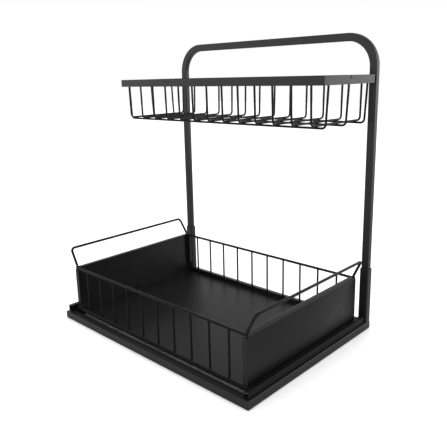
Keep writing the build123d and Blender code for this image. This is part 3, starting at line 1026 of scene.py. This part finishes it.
class BallSlides(bpy.types.Operator):
    """Finish both ball slides: members, cages, balls, rivets and rear bumpers"""

    bl_idname = "basket.ball_slides"
    bl_label = "Ball slides"

    def execute(self, context):
        width = settings().edges.slide
        for side in SIDES:
            # The members and rivets take the black steel finish that also carries painted shade
            # from the side panels above them
            for member in ("outer", "inner"):
                rounded_node(
                    f"{side}_slide_{member}",
                    f"{side}_{member}_member",
                    width,
                    finish("slide_black_painted_shade"),
                    "slide_steel",
                )
            repaint(f"{side}_slide_cage", "cage_zinc")
            repaint(f"{side}_slide_balls", "ball_chrome")
            repaint(f"{side}_slide_rivets", "slide_black_painted_shade")
            repaint(f"{side}_slide_bumper", "bumper_plastic")
        return {"FINISHED"}


class Studio(bpy.types.Operator):
    """Set the pale floor, the soft lamps, the white surroundings and the camera"""

    bl_idname = "basket.studio"
    bl_label = "Studio"

    def execute(self, context):
        look = settings().studio
        scene = context.scene
        scene.view_settings.view_transform = "Standard"

        cam = bpy.data.cameras.new("camera")
        cam.sensor_width = 36.0
        cam.lens = look.lens
        cam.shift_x, cam.shift_y = look.shift_x, look.shift_y
        cam.clip_start, cam.clip_end = 0.01, 100.0
        camera = bpy.data.objects.new("camera", cam)
        scene.collection.objects.link(camera)
        ahead = Vector((
            -math.sin(look.yaw) * math.cos(look.pitch),
            math.cos(look.yaw) * math.cos(look.pitch),
            math.sin(look.pitch),
        ))
        right = Vector((math.cos(look.yaw), math.sin(look.yaw), 0.0))
        up = right.cross(ahead)
        across = right * math.cos(look.roll) + up * math.sin(look.roll)
        upward = up * math.cos(look.roll) - right * math.sin(look.roll)
        turn = camera.matrix_world.copy()
        for row in range(3):
            turn[row][0], turn[row][1], turn[row][2] = across[row], upward[row], -ahead[row]
            turn[row][3] = look.eye[row]
        camera.matrix_world = turn
        scene.camera = camera

        self.surroundings(scene, look)
        self.floor(look)
        self.lamp(
            "right_softbox", place=(1.3, 1.5, 0.75), aim=(0.15, 0.05, 0.25), size=(1.2, 1.6),
            power=7.0,
        )
        self.lamp(
            "top_softbox", place=(-0.2, 0.3, 1.9), aim=(0.0, 0.0, 0.1), size=(1.6, 1.6), power=8.0
        )
        return {"FINISHED"}

    def surroundings(self, scene, look):
        """White to the eye, a soft light all round, and in reflections darker overhead."""
        world = bpy.data.worlds.new("surroundings")
        world.use_nodes = True
        scene.world = world
        tree = world.node_tree
        sky = tree.nodes["Background"]
        sky.inputs["Color"].default_value = (1.0, 1.0, 1.0, 1.0)
        path = tree.nodes.new("ShaderNodeLightPath")
        toward_eye = tree.nodes.new("ShaderNodeNewGeometry").outputs["Incoming"]
        sunk = new_node(tree, "ShaderNodeSeparateXYZ", {0: toward_eye}).outputs["Z"]
        steep, shallow = -0.55, -0.1  # Incoming's Z, for light from high up and from low
        mirrored = new_node(
            tree,
            "ShaderNodeMapRange",
            {"Value": sunk, "From Min": steep, "From Max": shallow, "To Min": look.overhead,
             "To Max": look.horizon},
        ).outputs[0]
        lit = new_node(
            tree,
            "ShaderNodeMix",
            {0: path.outputs["Is Glossy Ray"], 2: look.room_light, 3: mirrored},
        ).outputs[0]
        seen = new_node(
            tree,
            "ShaderNodeMath",
            {0: path.outputs["Is Camera Ray"], 1: path.outputs["Is Transmission Ray"]},
            operation="MAXIMUM",
        ).outputs[0]
        strength = new_node(tree, "ShaderNodeMix", {0: seen, 2: lit, 3: 1.0}).outputs[0]
        tree.links.new(strength, sky.inputs["Strength"])

    def floor(self, look):
        """A pale floor that keeps the soft shadow and is darker in reflections."""
        reach, drop = 6.0, 0.0002
        mesh = bpy.data.meshes.new("floor")
        mesh.from_pydata(
            [(x * reach, y * reach, -drop) for x, y in ((-1, -1), (1, -1), (1, 1), (-1, 1))],
            [],
            [(0, 1, 2, 3)],
        )
        floor = put_in_scene(mesh, "floor")
        material = bpy.data.materials.new("floor_white")
        material.use_nodes = True
        tree = material.node_tree
        surface = tree.nodes["Principled BSDF"]
        surface.inputs["Roughness"].default_value = 0.9
        surface.inputs["Specular IOR Level"].default_value = 0.0
        path = tree.nodes.new("ShaderNodeLightPath")
        tone = new_node(
            tree,
            "ShaderNodeMapRange",
            {"Value": path.outputs["Is Glossy Ray"], "To Min": look.floor_tone,
             "To Max": look.floor_mirrored},
        ).outputs[0]
        tree.links.new(tone, surface.inputs["Base Color"])
        mesh.materials.append(material)

    def lamp(self, name, place, aim, size, power):
        """A rectangular softbox that points at a spot."""
        light = bpy.data.lights.new(name, "AREA")
        light.shape = "RECTANGLE"
        light.size, light.size_y = size
        light.energy = power
        lamp = bpy.data.objects.new(name, light)
        lamp.location = place
        lamp.rotation_mode = "QUATERNION"
        lamp.rotation_quaternion = (Vector(aim) - Vector(place)).to_track_quat("-Z", "Y")
        bpy.context.scene.collection.objects.link(lamp)


class BasketSettings(bpy.types.PropertyGroup):
    """All the basket's settings"""

    wires: PointerProperty(type=WireSizes, name="Wires", description="Wire sizes")
    edges: PointerProperty(type=EdgeSizes, name="Edges", description="Edge rounding")
    coat: PointerProperty(type=CoatLook, name="Coat", description="Powder coat")
    studio: PointerProperty(type=StudioLook, name="Studio", description="Camera and light")


OPERATORS = (
    BaseTubes,
    UprightFrame,
    DrawerSheet,
    BasketRim,
    BasketWires,
    DrawerFences,
    SideHandles,
    Screws,
    BallSlides,
    Studio,
)


class BasketPanel(bpy.types.Panel):
    """Lists the settings and the steps that dress the basket"""

    bl_idname = "VIEW3D_PT_basket"
    bl_label = "Pull-out cabinet basket"
    bl_space_type = "VIEW_3D"
    bl_region_type = "UI"
    bl_category = "Basket"

    def draw(self, context):
        for group in (settings().wires, settings().edges, settings().coat, settings().studio):
            box = self.layout.box()
            for name in group.__annotations__:
                box.prop(group, name)
        for step in OPERATORS:
            self.layout.operator(step.bl_idname)


CLASSES = (WireSizes, EdgeSizes, CoatLook, StudioLook, BasketSettings, *OPERATORS, BasketPanel)


def register():
    for cls in CLASSES:
        bpy.utils.register_class(cls)
    bpy.types.Scene.basket = PointerProperty(type=BasketSettings)


def unregister():
    del bpy.types.Scene.basket
    for cls in reversed(CLASSES):
        bpy.utils.unregister_class(cls)


def main():
    register()
    for step in OPERATORS:
        group, name = step.bl_idname.split(".")
        getattr(getattr(bpy.ops, group), name)()


if __name__ == "__main__":
    main()
